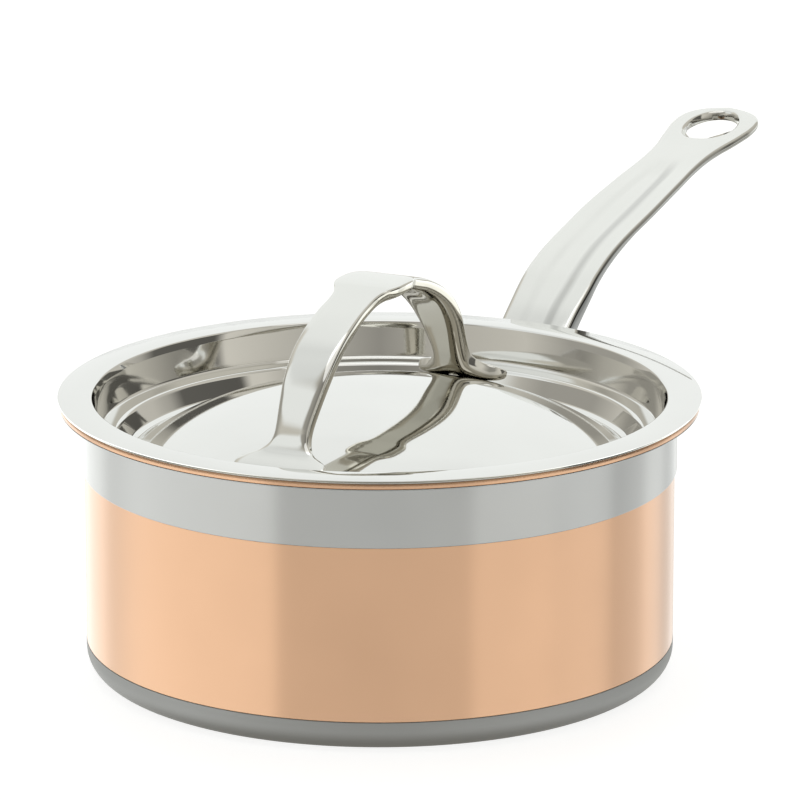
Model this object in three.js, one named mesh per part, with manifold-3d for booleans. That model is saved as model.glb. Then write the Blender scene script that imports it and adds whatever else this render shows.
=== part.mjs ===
// A small saucepan: clad copper and steel body, cast long handle, lift-off steel lid with a cast arch.
// Millimetres, +Z up. The origin is the centre of the flat base and the long handle runs along +Y.
import * as THREE from 'three';
import { mergeVertices } from 'three/addons/utils/BufferGeometryUtils.js';
import Module from 'manifold-3d';

const wasm = await Module();
wasm.setup();

// ---- driving dimensions ----
const SEGMENTS = 48;              // facets round the pan and the lid
const ARC_STEPS = 4;              // facets in each quarter-round of a section
const PLY_GAP = 0.06;             // clearance between neighbouring plies
const CUT_GAP = 0.3;              // clearance round a piece that passes through another
const OVERRUN = 5;                // how far a cutting tool runs past what it cuts
const WIDE = 40;                  // wider than either handle
const ROUND = 20;                 // facets round a rivet

const COPPER_R = 80;              // outer radius of the copper wall
const BAND_R = 80.6;              // outer radius of the steel rim band
const BASE_R = 80.05;             // outer radius of the steel base cup
const BASE_CORNER = 6.5;          // outer corner radius of the base
const BASE_TOP = 8.5;             // height of the base cup's edge
const BAND_BOTTOM = 56.1;         // height of the band's lower edge
const LIP_R = 86.6;               // outer radius of the flared lip
const LIP_TOP = 75.6;             // top of the lip, where the lid rests
const LIP_BOTTOM = 73.9;          // underside of the lip
const BORE_R = 78.3;              // inner radius of the pan
const FLOOR_Z = 3.9;              // cooking floor
const CORE_TOP = 69.5;            // the aluminium ends under the flare

const LID_R = 87.14;              // outer radius of the lid's flange
const LID_TOP = 76.25;            // top of the flange
const LID_SHEET = 0.6;            // sheet thickness
const DOME_R = 66.2;              // foot of the dome, at the bottom of the groove
const DOME_FOOT_Z = 60.2;
const DOME_TOP_Z = 75;
const DOME_POWER = 3;             // how late the dome falls away

const HANDLE_LENGTH = 242.5;      // tip of the long handle from the pan's axis
const STRAP = 2.6;                // edge thickness of the long handle
const PLATE_IN_R = BAND_R + CUT_GAP;
const PLATE_OUT_R = PLATE_IN_R + 3.4;
const RIVET_ANGLE = 9.5;          // degrees each side of the handle's plane
const RIVET_Z = 50.5;
const RIVET_R = 2.6;
const RIVET_HEAD_R = 4.4;

const LID_RIVET_Y = 51;           // from the middle of the lid handle
const ARCH_MIDDLE_Y = -3.5;       // the lid handle sits a little off the lid's centre
const LID_RIVET_R = 1.9;
const LID_RIVET_HEAD_R = 3.2;

// ---- finishes ----
const finish = (color, roughness) => new THREE.MeshStandardMaterial({ color, roughness, metalness: 1 });
const POLISHED = 0xd9dad6;
const SATIN = 0xa9aba9;
const COPPER = 0xd99a72;
const ALUMINIUM = 0xc4c6c8;

// ---- outline helpers ----
const point = (x, y) => new THREE.Vector2(x, y);

// Points of a round stretch about a centre, from one angle to another in degrees.
function arc(cx, cy, radius, from, to, steps = ARC_STEPS) {
  const points = [];
  for (let i = 0; i <= steps; i += 1) {
    const angle = THREE.MathUtils.degToRad(THREE.MathUtils.lerp(from, to, i / steps));
    points.push(point(cx + radius * Math.cos(angle), cy + radius * Math.sin(angle)));
  }
  return points;
}

// Points on a smooth curve through a few given ones.
function smooth(through, steps) {
  return new THREE.SplineCurve(through.map(([x, y]) => point(x, y))).getPoints(steps);
}

// ---- solid helpers ----
function toSolid(geometry) {
  const bare = geometry.clone();
  bare.deleteAttribute('normal');
  bare.deleteAttribute('uv');
  const merged = mergeVertices(bare, 1e-4);
  return new wasm.Manifold(new wasm.Mesh({
    numProp: 3,
    vertProperties: merged.attributes.position.array,
    triVerts: Uint32Array.from(merged.index.array),
  }));
}

function toGeometry(solid) {
  const mesh = solid.getMesh();
  const geometry = new THREE.BufferGeometry();
  geometry.setAttribute('position', new THREE.BufferAttribute(mesh.vertProperties, 3));
  geometry.setIndex(new THREE.BufferAttribute(mesh.triVerts, 1));
  return geometry;
}

// A closed (radius, height) outline turned about Z, outer side listed upwards.
function revolve(outline, segments = SEGMENTS) {
  return new THREE.LatheGeometry(outline, segments).rotateX(Math.PI / 2);
}

// A (y, z) outline given a width along X, centred on the YZ plane.
function sideSolid(outline, width) {
  const shape = new THREE.Shape(outline);
  const geometry = new THREE.ExtrudeGeometry(shape, { depth: width, bevelEnabled: false });
  geometry.translate(0, 0, -width / 2);
  geometry.rotateX(Math.PI / 2).rotateZ(Math.PI / 2);
  return toSolid(geometry);
}

// An (x, y) shape raised from one height to another.
function planSolid(shape, low, high) {
  const geometry = new THREE.ExtrudeGeometry(shape, { depth: high - low, bevelEnabled: false });
  return toSolid(geometry.translate(0, 0, low));
}

// A round bar that lies along +Y at a given height, turned about Z by an angle in degrees.
function radialBar(radius, start, end, height, angle) {
  const bar = new THREE.CylinderGeometry(radius, radius, end - start, ROUND);
  bar.translate(0, (start + end) / 2, height).rotateZ(THREE.MathUtils.degToRad(angle));
  return toSolid(bar);
}

function named(name, geometry, material) {
  const mesh = new THREE.Mesh(geometry, material);
  mesh.name = name;
  return mesh;
}

// ---- pan plies ----
// Each interface between two plies is a wall radius, a floor height and a corner radius.
const LOWER_WALL_R = 79.56;
const FACES = {
  base: { wall: LOWER_WALL_R, floor: 0.9, corner: 5.6 },
  copper: { wall: 79.22, floor: 1.76, corner: 5.3 },
  core: { wall: 78.86, floor: 3.2, corner: 5 },
};

// The lower corner of a face, from the floor up to the wall, shrunk inwards by a gap.
function cornerUp({ wall, floor, corner }, gap = 0) {
  return arc(wall - corner, floor + corner, corner - gap, 270, 360);
}

// The flare of a face, from the wall up and out to the level lip, grown towards the bore by a gap.
function flareUp(wall, lip, radius, gap = 0) {
  return arc(wall + radius, lip - radius, radius + gap, 180, 90);
}

const BAND_IN_R = COPPER_R + PLY_GAP;
const UPPER_CORE_R = 79.4;        // the core thickens above the base cup
const LIP_PLIES = { outside: 2, band: 2.4, liner: 3.35, bore: 3.7 };  // flare radii
const BAND_LIP = 74.15;           // copper's underside in the lip
const LINER_LIP = 75.25;          // copper's top in the lip
const STEP_Z = BASE_TOP + 0.6;    // where the lower copper steps out

const linerOutline = [
  point(0, FACES.core.floor + PLY_GAP),
  ...cornerUp(FACES.core, PLY_GAP),
  ...flareUp(FACES.core.wall - PLY_GAP, LINER_LIP + PLY_GAP, LIP_PLIES.liner + PLY_GAP),
  point(LIP_R, LINER_LIP + PLY_GAP),
  point(LIP_R, LIP_TOP),
  ...flareUp(BORE_R, LIP_TOP, LIP_PLIES.bore).reverse(),
  ...arc(BORE_R - 6, FLOOR_Z + 6, 6, 0, -90),
  point(0, FLOOR_Z),
];

const coreOutline = [
  point(0, FACES.copper.floor + PLY_GAP),
  ...cornerUp(FACES.copper, PLY_GAP),
  point(FACES.copper.wall - PLY_GAP, STEP_Z),
  point(UPPER_CORE_R, STEP_Z + 0.4),
  point(UPPER_CORE_R, CORE_TOP),
  point(FACES.core.wall, CORE_TOP),
  ...cornerUp(FACES.core).reverse(),
  point(0, FACES.core.floor),
];

const copperOutline = [
  point(0, FACES.base.floor + PLY_GAP),
  ...cornerUp(FACES.base, PLY_GAP),
  point(FACES.base.wall - PLY_GAP, BASE_TOP + PLY_GAP),
  point(COPPER_R, BASE_TOP + PLY_GAP),
  ...flareUp(COPPER_R, BAND_LIP, LIP_PLIES.band),
  point(LIP_R, BAND_LIP),
  point(LIP_R, LINER_LIP),
  ...flareUp(FACES.core.wall, LINER_LIP, LIP_PLIES.liner).reverse(),
  point(FACES.core.wall, CORE_TOP + PLY_GAP),
  point(UPPER_CORE_R + PLY_GAP, CORE_TOP + PLY_GAP),
  point(UPPER_CORE_R + PLY_GAP, STEP_Z + 0.4),
  point(FACES.copper.wall, STEP_Z),
  ...cornerUp(FACES.copper).reverse(),
  point(0, FACES.copper.floor),
];

const bandOutline = [
  point(BAND_R, BAND_BOTTOM),
  ...flareUp(BAND_R, LIP_BOTTOM, LIP_PLIES.outside),
  point(LIP_R, LIP_BOTTOM),
  point(LIP_R, BAND_LIP - PLY_GAP),
  ...flareUp(BAND_IN_R, BAND_LIP - PLY_GAP, LIP_PLIES.band - PLY_GAP).reverse(),
  point(BAND_IN_R, BAND_BOTTOM),
  point(BAND_R, BAND_BOTTOM),
];

const baseOutline = [
  point(0, 0),
  ...arc(BASE_R - BASE_CORNER, BASE_CORNER, BASE_CORNER, 270, 360),
  point(BASE_R, BASE_TOP),
  point(LOWER_WALL_R, BASE_TOP),
  ...cornerUp(FACES.base).reverse(),
  point(0, FACES.base.floor),
];

// Rivet holes through the wall, one each side of the handle's plane.
const rivetAngles = { left: RIVET_ANGLE, right: -RIVET_ANGLE };
function drilled(outline, holeRadius) {
  let solid = toSolid(revolve(outline));
  for (const angle of Object.values(rivetAngles)) {
    solid = solid.subtract(radialBar(holeRadius, BORE_R - OVERRUN, BAND_R + OVERRUN, RIVET_Z, angle));
  }
  return toGeometry(solid);
}

// ---- long handle ----
// The top face seen from the side, from the mounting plate to the tip.
const handleTop = smooth([
  [82, 56], [95, 66], [105, 74.8], [120, 83.6], [140, 89.6], [180, 96.9], [215, 101.7],
  [HANDLE_LENGTH, 105.8],
], 26);
// The strap's underside, from the tip back to the root, where the handle grows deep.
const handleUnder = smooth([
  [HANDLE_LENGTH, 105.8 - STRAP], [215, 101.7 - STRAP], [180, 96.9 - STRAP], [140, 89.6 - STRAP],
  [120, 80.2], [105, 68.6], [95, 57.5], [82, 46],
], 26);
// A narrower keel under the strap with a rounded heel.
const KEEL_WIDTH = 11;
const keelSide = [
  point(95, 60),
  ...smooth([
    [95, 56.5], [108, 66], [120, 72], [128, 74.2], [134, 76], [139, 80], [143, 86], [147, 90],
  ], 16),
  point(140, 89.2),
  point(120, 82.6),
  point(105, 72),
];
// Half-width seen from above, from root to tip.
const handleEdge = smooth([
  [10.6, 78], [10.6, 105], [11, 118], [10.7, 135], [10.6, 160], [9.6, 185], [9.1, 200], [10.4, 213],
  [12.4, 223], [12.9, 231], [10.8, 238], [5.5, 241.8], [0, HANDLE_LENGTH],
], 30);

const HOLE_FAR = 237;
const HOLE_NEAR = 215.5;
const HOLE_HALF = 7.4;
function handlePlan() {
  const other = handleEdge.slice(0, -1).reverse().map((p) => point(-p.x, p.y));
  const shape = new THREE.Shape([...handleEdge, ...other]);
  const hole = new THREE.Path();
  hole.absellipse(0, (HOLE_FAR + HOLE_NEAR) / 2, HOLE_HALF, (HOLE_FAR - HOLE_NEAR) / 2, 0, Math.PI * 2);
  shape.holes.push(new THREE.Path(hole.getPoints(20)));
  return shape;
}

// Mounting plate: a rounded rectangle seen along the handle, wrapped round the wall.
const PLATE = { half: 23, low: 38.5, high: 66, corner: 9 };
const PLATE_FACETS = 96;
const SLAB_DEPTH = 30;
function mountingPlate() {
  const { half, low, high, corner } = PLATE;
  const outline = [
    ...arc(half - corner, high - corner, corner, 0, 90),
    ...arc(corner - half, high - corner, corner, 90, 180),
    ...arc(corner - half, low + corner, corner, 180, 270),
    ...arc(half - corner, low + corner, corner, 270, 360),
  ];
  const shape = new THREE.Shape(outline);
  const slab = new THREE.ExtrudeGeometry(shape, { depth: SLAB_DEPTH, bevelEnabled: false });
  slab.rotateX(Math.PI / 2).translate(0, PLATE_OUT_R + SLAB_DEPTH / 3, 0);
  const ring = revolve([
    point(PLATE_IN_R, low - OVERRUN),
    point(PLATE_OUT_R, low - OVERRUN),
    point(PLATE_OUT_R, high + OVERRUN),
    point(PLATE_IN_R, high + OVERRUN),
    point(PLATE_IN_R, low - OVERRUN),
  ], PLATE_FACETS);
  return toSolid(ring).intersect(toSolid(slab));
}

function longHandle() {
  const plan = planSolid(handlePlan(), 0, LID_R + WIDE);
  const strap = sideSolid([...handleTop, ...handleUnder], WIDE).intersect(plan);
  const wall = toSolid(revolve([
    point(0, 0),
    point(PLATE_IN_R, 0),
    point(PLATE_IN_R, LID_R),
    point(0, LID_R),
  ], PLATE_FACETS));
  const keel = sideSolid(keelSide, KEEL_WIDTH);
  let handle = strap.add(keel).subtract(wall).add(mountingPlate());
  for (const angle of Object.values(rivetAngles)) {
    handle = handle.subtract(radialBar(RIVET_R + CUT_GAP, BORE_R, PLATE_OUT_R + OVERRUN, RIVET_Z, angle));
    const seat = radialBar(RIVET_HEAD_R + CUT_GAP, PLATE_OUT_R, PLATE_OUT_R + 2 * OVERRUN, RIVET_Z, angle);
    handle = handle.subtract(seat);
  }
  return toGeometry(handle);
}

// A rivet along +Y: flush head in the liner, shank, low round head on the plate.
const RIVET_FLUSH = 0.3;
function rivet() {
  const inner = BORE_R - PLY_GAP;
  const head = PLATE_OUT_R + CUT_GAP;
  return new THREE.LatheGeometry([
    point(0, inner),
    point(RIVET_HEAD_R, inner),
    point(RIVET_HEAD_R, inner + RIVET_FLUSH),
    point(RIVET_R, inner + RIVET_FLUSH),
    point(RIVET_R, head),
    point(RIVET_HEAD_R, head),
    point(RIVET_HEAD_R - 0.4, head + 0.9),
    point(RIVET_HEAD_R - 1.8, head + 1.5),
    point(0, head + 1.7),
  ], ROUND);
}

// ---- lid ----
const DOME_STEPS = 9;
// The pressed edge of the lid from the flange's rim to the groove: radius and height of the upper face,
// then how far the lower face goes out and down for each millimetre of sheet.
const LID_PRESSING = [
  [LID_R, LID_TOP, 0, 1],
  [78.6, LID_TOP, 0.3, 1],
  [77.75, LID_TOP - 0.4, 0.75, 0.75],
  [77.4, 74.9, 1, 0.4],
  [75.9, 67.2, 1, 0.8],
  [75, 66, 0.8, 1],
  [72.4, 65.7, 0, 1.05],
  [69.8, 64.2, -0.3, 0.9],
  [69, 62.6, -0.6, 0.8],
  [68, 61.2, -0.3, 1],
];

// The dome from its foot to its centre, raised by a height.
function domeFace(raise) {
  const face = [];
  for (let i = 0; i <= DOME_STEPS; i += 1) {
    const share = 1 - i / DOME_STEPS;
    const fall = (DOME_TOP_Z - DOME_FOOT_Z) * share ** DOME_POWER;
    face.push(point(DOME_R * share, DOME_TOP_Z - fall + raise));
  }
  return face;
}

// One face of the sheet from the flange's rim to the centre, a thickness below the upper face.
function lidFace(drop) {
  const edge = LID_PRESSING.map(([radius, height, out, down]) => (
    point(radius + out * drop, height - down * drop)
  ));
  return [...edge, ...domeFace(-drop)];
}
const lidSides = { front: -1, rear: 1 };
const rivetY = (side) => ARCH_MIDDLE_Y + side * LID_RIVET_Y;
const SHANK_TOP = 1.7;            // how far the lid rivets reach above the dome

// The dome's height and its slope in radians under one of the lid rivets.
function domeUnder(side) {
  const rise = DOME_TOP_Z - DOME_FOOT_Z;
  const share = Math.abs(rivetY(side)) / DOME_R;
  return {
    height: DOME_TOP_Z - rise * share ** DOME_POWER,
    slope: Math.atan(DOME_POWER * rise * share ** (DOME_POWER - 1) / DOME_R),
  };
}

// Puts a geometry that stands on z = 0 square on the dome at one of the two rivets.
function seatOnDome(geometry, side) {
  const { height, slope } = domeUnder(side);
  return geometry.rotateX(-side * slope).translate(0, rivetY(side), height);
}

// A cutter for a lid rivet's shank that reaches a given distance both ways from the dome.
function shankCutter(reach, side) {
  const bar = new THREE.CylinderGeometry(LID_RIVET_R + CUT_GAP, LID_RIVET_R + CUT_GAP, 2 * reach, ROUND);
  return toSolid(seatOnDome(bar.rotateX(Math.PI / 2), side));
}

function lid() {
  let solid = toSolid(revolve([...lidFace(LID_SHEET).reverse(), ...lidFace(0)]));
  for (const side of Object.values(lidSides)) {
    solid = solid.subtract(shankCutter(OVERRUN, side));
  }
  return toGeometry(solid);
}

// A rivet along +Z whose head is under the sheet and whose shank ends inside the foot.
function lidRivet() {
  const seat = -LID_SHEET - CUT_GAP;
  return new THREE.LatheGeometry([
    point(0, seat - 1.3),
    point(LID_RIVET_HEAD_R - 1.2, seat - 1.1),
    point(LID_RIVET_HEAD_R, seat - 0.5),
    point(LID_RIVET_HEAD_R, seat),
    point(LID_RIVET_R, seat),
    point(LID_RIVET_R, SHANK_TOP),
    point(0, SHANK_TOP),
  ], ROUND).rotateX(Math.PI / 2);
}

// ---- lid handle ----
// Half of the arch seen from the side, crown to foot: outer face, then the inner face back to the crown.
const archOuter = smooth([
  [0, 108.7], [10, 108], [20, 105.7], [29, 101.7], [36, 96.8], [41, 91.6], [44.4, 86], [46.4, 80.8],
  [48.4, 76], [52, 72.8], [60, 70.8],
], 18);
const archInner = smooth([
  [60, 66.6], [52, 67.6], [46, 70], [43.8, 75], [42, 80.6], [39.6, 86], [35.8, 91], [30, 95.8],
  [22, 100.4], [10, 103.8], [0, 104.6],
], 18);
// Half-width seen from above: lozenge crown, narrow legs, spread feet.
const archEdge = [
  ...smooth([[9.4, 0], [9.8, 4], [9.4, 10], [8.4, 18], [6.8, 28], [5.2, 37], [4.6, 42], [4.7, 46]], 12),
  ...smooth([[5.6, 49.4], [8.8, 52.6], [13.6, 55]], 5),
  point(13.2, 58.6),
  point(0, 59.4),
];

const flipX = (points) => points.map((p) => point(-p.x, p.y)).reverse();
const flipY = (points) => points.map((p) => point(p.x, -p.y)).reverse();

function lidHandle() {
  const half = [...archOuter, ...archInner];
  const side = [...half, ...flipX(archInner).slice(1), ...flipX(archOuter).slice(0, -1)];
  const farHalf = [...archEdge, ...flipX(archEdge).slice(1)];
  const plan = new THREE.Shape([...farHalf, ...flipY(farHalf).slice(1, -1)]);
  const domeBlock = revolve([point(0, 0), point(DOME_R, 0), ...domeFace(CUT_GAP)]);
  let arch = sideSolid(side, WIDE).intersect(planSolid(plan, DOME_FOOT_Z, LID_TOP + WIDE));
  arch = arch.translate([0, ARCH_MIDDLE_Y, 0]).subtract(toSolid(domeBlock));
  for (const end of Object.values(lidSides)) {
    arch = arch.subtract(shankCutter(SHANK_TOP + CUT_GAP, end));
  }
  return toGeometry(arch);
}

// ---- assembly ----
const pan = new THREE.Group();
pan.add(named('inner_liner', drilled(linerOutline, RIVET_HEAD_R + CUT_GAP), finish(POLISHED, 0.3)));
pan.add(named('aluminium_core', drilled(coreOutline, RIVET_R + CUT_GAP), finish(ALUMINIUM, 0.5)));
pan.add(named('copper_shell', drilled(copperOutline, RIVET_R + CUT_GAP), finish(COPPER, 0.28)));
pan.add(named('rim_band', revolve(bandOutline), finish(SATIN, 0.35)));
pan.add(named('base_cup', revolve(baseOutline), finish(SATIN, 0.3)));
pan.add(named('long_handle', longHandle(), finish(POLISHED, 0.12)));
for (const [side, angle] of Object.entries(rivetAngles)) {
  const piece = named(`handle_rivet_${side}`, rivet(), finish(POLISHED, 0.2));
  piece.position.z = RIVET_Z;
  piece.rotation.z = THREE.MathUtils.degToRad(angle);
  pan.add(piece);
}

const lidGroup = new THREE.Group();
lidGroup.add(named('lid', lid(), finish(POLISHED, 0.08)));
lidGroup.add(named('lid_handle', lidHandle(), finish(POLISHED, 0.08)));
for (const [side, sign] of Object.entries(lidSides)) {
  const { height, slope } = domeUnder(sign);
  const piece = named(`lid_rivet_${side}`, lidRivet(), finish(POLISHED, 0.2));
  piece.position.set(0, rivetY(sign), height);
  piece.rotation.x = -sign * slope;
  lidGroup.add(piece);
}

const saucepan = new THREE.Group();
saucepan.add(pan, lidGroup);

export default saucepan;
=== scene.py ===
"""A small copper-clad saucepan with a domed steel lid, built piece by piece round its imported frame."""

from bisect import bisect_right
from math import atan, cos, hypot, pi, radians, sin, sqrt, tan

import bmesh
import bpy
from mathutils import Matrix, Vector


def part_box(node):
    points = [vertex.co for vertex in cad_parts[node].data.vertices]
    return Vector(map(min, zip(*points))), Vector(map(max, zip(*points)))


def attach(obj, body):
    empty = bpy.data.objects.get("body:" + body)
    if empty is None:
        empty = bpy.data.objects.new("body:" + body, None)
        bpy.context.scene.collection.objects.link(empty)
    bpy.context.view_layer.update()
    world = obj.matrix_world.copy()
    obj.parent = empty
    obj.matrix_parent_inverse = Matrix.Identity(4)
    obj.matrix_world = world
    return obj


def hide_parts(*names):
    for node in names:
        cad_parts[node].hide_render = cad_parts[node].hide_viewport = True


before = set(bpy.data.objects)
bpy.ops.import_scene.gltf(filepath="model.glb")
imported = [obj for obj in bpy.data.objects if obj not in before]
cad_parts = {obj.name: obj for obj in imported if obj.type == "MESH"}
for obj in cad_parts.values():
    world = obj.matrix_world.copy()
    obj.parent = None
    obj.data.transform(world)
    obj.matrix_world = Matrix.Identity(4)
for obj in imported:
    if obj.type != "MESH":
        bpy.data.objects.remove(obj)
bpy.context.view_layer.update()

bl_info = {
    "name": "Copper-clad saucepan",
    "version": (1, 0, 0),
    "blender": (4, 5, 0),
    "location": "3D View > Sidebar > Saucepan",
    "description": "Builds a copper-clad saucepan, its cast handles and its domed lid",
    "category": "Add Mesh",
}

MM = 0.001
ARC_STEP = 7  # degrees between points on a rounded corner
STRAIGHT = 89.5  # half angles in degrees beyond this are not corners
SAME_POINT = 1e-7  # vertices closer than this, in metres, are one


# ---- sizes and colours ----
def length(name, description, value):
    return bpy.props.FloatProperty(name=name, description=description, default=value * MM, unit="LENGTH")


def colour(name, description, value):
    return bpy.props.FloatVectorProperty(
        name=name, description=description, default=value, size=4, min=0, max=1, subtype="COLOR"
    )


def share(name, description, value):
    return bpy.props.FloatProperty(
        name=name, description=description, default=value, min=0, max=1, subtype="FACTOR"
    )


def count(name, description, value):
    return bpy.props.IntProperty(name=name, description=description, default=value, min=24)


class SaucepanWallSizes(bpy.types.PropertyGroup):
    copper_radius: length("Copper radius", "Outer radius of the copper wall", 80)
    band_radius: length("Band radius", "Outer radius of the steel band under the lip", 80.6)
    base_radius: length("Base radius", "Outer radius of the steel base", 80.05)
    base_corner: length("Base corner", "Radius of the base's lower corner", 6.5)
    base_top: length("Base top", "Height of the base's upper edge", 8.5)
    band_bottom: length("Band bottom", "Height of the band's lower edge", 56.1)
    bore_radius: length("Bore radius", "Inner radius of the pan", 78.3)
    lip_radius: length("Lip radius", "Outer radius of the flared lip", 86.6)
    steps: count("Steps", "Facets round the wall", 224)


class SaucepanLidSizes(bpy.types.PropertyGroup):
    rim_radius: length("Rim radius", "Outer radius of the lid", 87.14)
    rim_top: length("Rim top", "Height of the lid's flat rim", 76.25)
    sheet: length("Sheet", "Thickness of the lid's sheet", 0.6)
    dome_radius: length("Dome radius", "Radius of the dome at its foot", 66.2)
    dome_foot: length("Dome foot", "Height of the dome's foot", 60.2)
    dome_top: length("Dome top", "Height of the middle of the dome", 75)
    arch_middle: length("Arch middle", "How far the lid's handle stands off the middle", -3.5)
    steps: count("Steps", "Facets round the lid", 288)


class SaucepanHandleSizes(bpy.types.PropertyGroup):
    strap: length("Strap", "Thickness of the handle along its edges", 2.6)
    channel: length("Channel", "Depth of the shallow channel along the handle", 0.5)
    shoulder: length("Shoulder", "Width of the raised shoulders beside the channel", 6.8)
    hole_near: length("Hole near end", "Where the hanging hole starts, from the pan's axis", 215.5)
    hole_far: length("Hole far end", "Where the hanging hole ends, from the pan's axis", 238)
    hole_half: length("Hole half width", "Half of the hanging hole's width", 7.4)
    rivet_head: length("Rivet head", "Radius of the rivets' heads", 4.4)


class SaucepanFinishes(bpy.types.PropertyGroup):
    copper: colour("Copper", "Colour of the copper wall", (0.53, 0.327, 0.209, 1))
    satin: colour("Satin steel", "Colour of the band and base", (0.355, 0.355, 0.348, 1))
    polished: colour("Polished steel", "Colour of the lid", (0.86, 0.86, 0.84, 1))
    cast: colour("Cast steel", "Colour of the handles", (0.86, 0.86, 0.83, 1))
    liner: colour("Liner", "Colour of the inside of the pan", (0.66, 0.66, 0.64, 1))
    core: colour("Core", "Colour of the aluminium core", (0.72, 0.73, 0.74, 1))
    wear: share("Wear", "How much the finishes are worn", 0.35)


class SaucepanStudio(bpy.types.PropertyGroup):
    floor: colour("Floor", "Colour of the floor", (0.5, 0.5, 0.5, 1))
    floor_glow: share("Floor glow", "Light that the floor gives off", 0.78)
    heading: bpy.props.FloatProperty(
        name="Heading", description="Turn of the studio about the pan", default=radians(26), unit="ROTATION"
    )


GROUPS = {
    "pan_wall": SaucepanWallSizes,
    "pan_lid": SaucepanLidSizes,
    "pan_handle": SaucepanHandleSizes,
    "pan_finish": SaucepanFinishes,
    "pan_studio": SaucepanStudio,
}


# ---- curves ----
def rounded(corners):
    """A path through (x, y, radius) corners, with each inner corner turned by an arc of its radius."""
    points = [Vector(c[:2]) for c in corners]
    path = [points[0]]
    for before, here, after, corner in zip(points, points[1:], points[2:], corners[1:]):
        radius = corner[2] if len(corner) > 2 else 0
        back, ahead = (before - here).normalized(), (after - here).normalized()
        half = back.angle(ahead, pi) / 2
        if radius <= 0 or half > radians(STRAIGHT):
            path.append(here)
            continue
        centre = here + (back + ahead).normalized() * (radius / sin(half))
        start = here + back * (radius / tan(half))
        sweep = pi - 2 * half
        turn = 1 if back.cross(ahead) < 0 else -1
        steps = max(2, round(sweep / radians(ARC_STEP)))
        arm = start - centre
        for i in range(steps + 1):
            path.append(centre + Matrix.Rotation(turn * sweep * i / steps, 2) @ arm)
    path.append(points[-1])
    return path


def through(table, at):
    """The value of a smooth curve through (position, value) pairs."""
    places = [row[0] for row in table]
    at = min(max(at, places[0]), places[-1])
    i = min(max(bisect_right(places, at) - 1, 0), len(table) - 2)
    (x0, y0), (x1, y1) = table[i], table[i + 1]
    slope = (y1 - y0) / (x1 - x0)
    start = slope if i == 0 else (y1 - table[i - 1][1]) / (x1 - table[i - 1][0])
    end = slope if i == len(table) - 2 else (table[i + 2][1] - y0) / (table[i + 2][0] - x0)
    t = (at - x0) / (x1 - x0)
    width = x1 - x0
    return (
        y0 * (2 * t**3 - 3 * t**2 + 1)
        + start * width * (t**3 - 2 * t**2 + t)
        + y1 * (3 * t**2 - 2 * t**3)
        + end * width * (t**3 - t**2)
    )


def ease(low, high, at):
    """Rises smoothly from 0 at low to 1 at high."""
    t = min(max((at - low) / (high - low), 0), 1)
    return t * t * (3 - 2 * t)


def shoulder_drop(distance, radius):
    """How far a rounded edge has dropped at a distance inside the outline."""
    if distance >= radius:
        return 0
    t = 1 - max(distance, 0) / radius
    return radius * (1 - sqrt(max(0, 1 - t * t)))


def thickened(path, sheet):
    """A closed outline: the path, then the same path one sheet to its left, back to the start."""
    other = []
    for i, here in enumerate(path):
        way = (path[min(i + 1, len(path) - 1)] - path[max(i - 1, 0)]).normalized()
        other.append(here + Vector((-way.y, way.x)) * sheet)
    return [*path, *reversed(other), path[0]]


# ---- meshes ----
def spun(outline, steps):
    """A mesh of a (radius, height) outline turned about Z."""
    bm = bmesh.new()
    verts = [bm.verts.new((radius, 0, height)) for radius, height in outline]
    edges = [bm.edges.new(pair) for pair in zip(verts, verts[1:])]
    bmesh.ops.spin(
        bm, geom=verts + edges, cent=(0, 0, 0), axis=(0, 0, 1), dvec=(0, 0, 0), angle=2 * pi, steps=steps,
        use_merge=True, use_normal_flip=False, use_duplicate=False,
    )
    close(bm)
    return bm


def mapped_grid(across, along, shape):
    """A grid whose vertices are placed by shape(column, row)."""
    bm = bmesh.new()
    bmesh.ops.create_grid(bm, x_segments=across, y_segments=along, size=0.5)
    cells = {}
    for vert in bm.verts:
        cells[vert] = (round((vert.co.x + 0.5) * across), round((vert.co.y + 0.5) * along))
    for vert, (column, row) in cells.items():
        vert.co = shape(column, row)
    return bm, cells


def close(bm):
    """Merges doubles and turns every face outwards."""
    bmesh.ops.remove_doubles(bm, verts=bm.verts, dist=SAME_POINT)
    bmesh.ops.dissolve_degenerate(bm, edges=bm.edges, dist=SAME_POINT)
    bmesh.ops.recalc_face_normals(bm, faces=bm.faces)


def piece(name, bm, material, body, slot, node, sharp=40):
    """Makes the finished object, puts it on its body and lets it stand for its CAD node."""
    mesh = bpy.data.meshes.new(name)
    bm.to_mesh(mesh)
    bm.free()
    mesh.shade_smooth()
    mesh.set_sharp_from_angle(angle=radians(sharp))
    mesh.materials.append(material)
    made = bpy.data.objects.new(name, mesh)
    bpy.context.scene.collection.objects.link(made)
    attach(made, body)
    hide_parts(node)
    return made


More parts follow.
